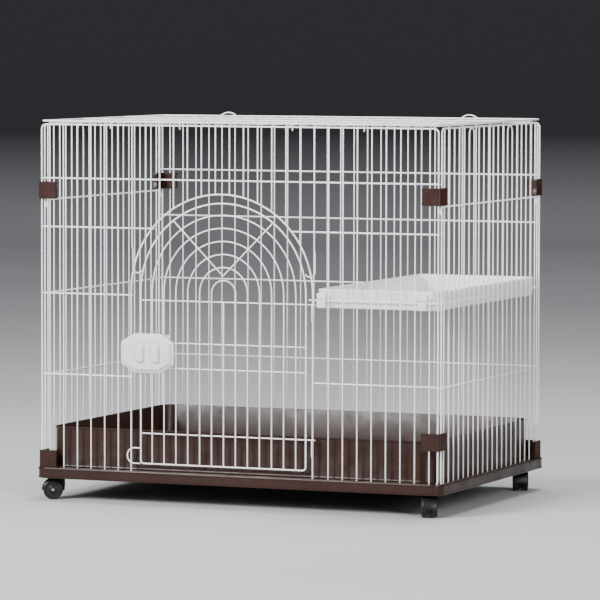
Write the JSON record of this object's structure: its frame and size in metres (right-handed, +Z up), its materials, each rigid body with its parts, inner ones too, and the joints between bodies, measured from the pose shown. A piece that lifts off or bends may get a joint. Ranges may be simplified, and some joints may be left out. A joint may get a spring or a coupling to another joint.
{
  "type": "wire rabbit cage",
  "caption": "Rectangular wire pet cage on a moulded tray base with casters, an arched front door with a slide latch, a hinged wire roof and a hanging shelf.",
  "frame": {"origin": "on the floor, under the middle of the whole outline", "axes": "+Z up; the door faces -Y; +X is to the right seen from the front"},
  "size_m": [0.9584, 0.675, 0.8443],
  "materials": {
    "wire_paint": "white powder-coated steel wire, semi-gloss",
    "base_plastic": "dark brown moulded plastic, semi-gloss",
    "clip_plastic": "dark brown ribbed plastic",
    "shelf_plastic": "off-white glossy plastic",
    "latch_plastic": "pale grey plastic",
    "caster_plastic": "black nylon",
    "steel": "bright zinc-plated steel"
  },
  "bodies": {
    "cage": {"base_tray": "base_plastic", "front_panel_left": "wire_paint", "front_panel_right": "wire_paint", "front_panel_head": "wire_paint", "rear_panel": "wire_paint", "left_panel": "wire_paint", "right_panel": "wire_paint", "clip_upper_front_left": "clip_plastic", "clip_lower_front_left": "clip_plastic", "clip_upper_front_right": "clip_plastic", "clip_lower_front_right": "clip_plastic", "clip_upper_rear_right": "clip_plastic", "clip_lower_rear_right": "clip_plastic", "clip_upper_rear_left": "clip_plastic", "clip_lower_rear_left": "clip_plastic", "caster_front_left_socket": "caster_plastic", "caster_front_right_socket": "caster_plastic", "caster_rear_left_socket": "caster_plastic", "caster_rear_right_socket": "caster_plastic"},
    "roof": {"roof": "wire_paint"},
    "door": {"door": "wire_paint", "latch_cover": "latch_plastic", "latch_back_plate": "latch_plastic", "latch_spring": "steel", "latch_screw_upper": "steel", "latch_screw_lower": "steel"},
    "latch_bolt": {"latch_bolt": "latch_plastic"},
    "shelf": {"shelf": "shelf_plastic"},
    "caster_front_left_fork": {"caster_front_left_stem": "steel", "caster_front_left_hood": "caster_plastic", "caster_front_left_axle": "steel"},
    "caster_front_left_wheel_a": {"caster_front_left_wheel_a": "caster_plastic"},
    "caster_front_left_wheel_b": {"caster_front_left_wheel_b": "caster_plastic"},
    "caster_front_right_fork": {"caster_front_right_stem": "steel", "caster_front_right_hood": "caster_plastic", "caster_front_right_axle": "steel"},
    "caster_front_right_wheel_a": {"caster_front_right_wheel_a": "caster_plastic"},
    "caster_front_right_wheel_b": {"caster_front_right_wheel_b": "caster_plastic"},
    "caster_rear_left_fork": {"caster_rear_left_stem": "steel", "caster_rear_left_hood": "caster_plastic", "caster_rear_left_axle": "steel"},
    "caster_rear_left_wheel_a": {"caster_rear_left_wheel_a": "caster_plastic"},
    "caster_rear_left_wheel_b": {"caster_rear_left_wheel_b": "caster_plastic"},
    "caster_rear_right_fork": {"caster_rear_right_stem": "steel", "caster_rear_right_hood": "caster_plastic", "caster_rear_right_axle": "steel"},
    "caster_rear_right_wheel_a": {"caster_rear_right_wheel_a": "caster_plastic"},
    "caster_rear_right_wheel_b": {"caster_rear_right_wheel_b": "caster_plastic"}
  },
  "joints": [
    {"name": "door_hinge", "type": "hinge", "parent": "cage", "child": "door", "pos_m": [0.1785, -0.3155, 0.27], "axis": [0, 0, 1], "range_deg": [0, 150]},
    {"name": "latch_bolt_slide", "type": "slide", "parent": "door", "child": "latch_bolt", "axis": [1, 0, 0], "range_m": [0, 0.0085], "stiffness_N_per_m": 400, "springref_m": -0.003},
    {"name": "roof_hinge", "type": "hinge", "parent": "cage", "child": "roof", "pos_m": [0, 0.3245, 0.827], "axis": [-1, 0, 0], "range_deg": [0, 110]},
    {"name": "shelf_lift", "type": "slide", "parent": "cage", "child": "shelf", "axis": [0, 0, 1], "range_m": [0, 0.1]},
    {"name": "caster_front_left_swivel", "type": "hinge", "parent": "cage", "child": "caster_front_left_fork", "pos_m": [-0.434, -0.2835, 0.06], "axis": [0, 0, 1], "continuous": true},
    {"name": "caster_front_left_wheel_a_spin", "type": "hinge", "parent": "caster_front_left_fork", "child": "caster_front_left_wheel_a", "pos_m": [-0.45063, -0.29039, 0.02177], "axis": [-0.3827, 0.9239, 0], "continuous": true},
    {"name": "caster_front_left_wheel_b_spin", "type": "hinge", "parent": "caster_front_left_fork", "child": "caster_front_left_wheel_b", "pos_m": [-0.45063, -0.29039, 0.02177], "axis": [-0.3827, 0.9239, 0], "continuous": true},
    {"name": "caster_front_right_swivel", "type": "hinge", "parent": "cage", "child": "caster_front_right_fork", "pos_m": [0.434, -0.2835, 0.06], "axis": [0, 0, 1], "continuous": true},
    {"name": "caster_front_right_wheel_a_spin", "type": "hinge", "parent": "caster_front_right_fork", "child": "caster_front_right_wheel_a", "pos_m": [0.44089, -0.30013, 0.02177], "axis": [-0.9239, -0.3827, 0], "continuous": true},
    {"name": "caster_front_right_wheel_b_spin", "type": "hinge", "parent": "caster_front_right_fork", "child": "caster_front_right_wheel_b", "pos_m": [0.44089, -0.30013, 0.02177], "axis": [-0.9239, -0.3827, 0], "continuous": true},
    {"name": "caster_rear_left_swivel", "type": "hinge", "parent": "cage", "child": "caster_rear_left_fork", "pos_m": [-0.434, 0.2925, 0.06], "axis": [0, 0, 1], "continuous": true},
    {"name": "caster_rear_left_wheel_a_spin", "type": "hinge", "parent": "caster_rear_left_fork", "child": "caster_rear_left_wheel_a", "pos_m": [-0.45063, 0.28561, 0.02177], "axis": [-0.3827, 0.9239, 0], "continuous": true},
    {"name": "caster_rear_left_wheel_b_spin", "type": "hinge", "parent": "caster_rear_left_fork", "child": "caster_rear_left_wheel_b", "pos_m": [-0.45063, 0.28561, 0.02177], "axis": [-0.3827, 0.9239, 0], "continuous": true},
    {"name": "caster_rear_right_swivel", "type": "hinge", "parent": "cage", "child": "caster_rear_right_fork", "pos_m": [0.434, 0.2925, 0.06], "axis": [0, 0, 1], "continuous": true},
    {"name": "caster_rear_right_wheel_a_spin", "type": "hinge", "parent": "caster_rear_right_fork", "child": "caster_rear_right_wheel_a", "pos_m": [0.44089, 0.27587, 0.02177], "axis": [-0.9239, -0.3827, 0], "continuous": true},
    {"name": "caster_rear_right_wheel_b_spin", "type": "hinge", "parent": "caster_rear_right_fork", "child": "caster_rear_right_wheel_b", "pos_m": [0.44089, 0.27587, 0.02177], "axis": [-0.9239, -0.3827, 0], "continuous": true}
  ]
}
